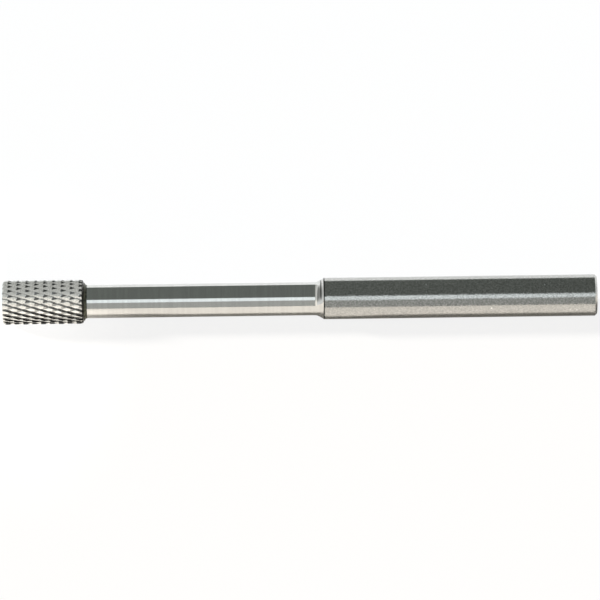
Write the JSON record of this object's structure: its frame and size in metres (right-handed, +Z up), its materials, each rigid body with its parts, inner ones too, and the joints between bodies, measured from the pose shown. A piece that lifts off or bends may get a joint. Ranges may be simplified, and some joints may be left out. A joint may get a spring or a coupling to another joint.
{
  "type": "carbide burr",
  "caption": "Slim rotary burr: a straight cylindrical double-cut carbide head brazed to a stepped round steel shank for a 3 mm collet.",
  "frame": {"origin": "on the tool's axis, where the plain shank begins behind the shoulder", "axes": "+X along the axis from the cutting head towards the shank's rear end; +Z up as the tool lies on a flat surface"},
  "size_m": [0.043, 0.0032, 0.0032],
  "materials": {
    "carbide": "satin, ground tungsten carbide",
    "braze": "dull silver braze",
    "steel": "ground, the neck polished"
  },
  "bodies": {
    "root": {"cutting_head": "carbide", "braze_joint": "braze", "shank": "steel"}
  },
  "joints": []
}
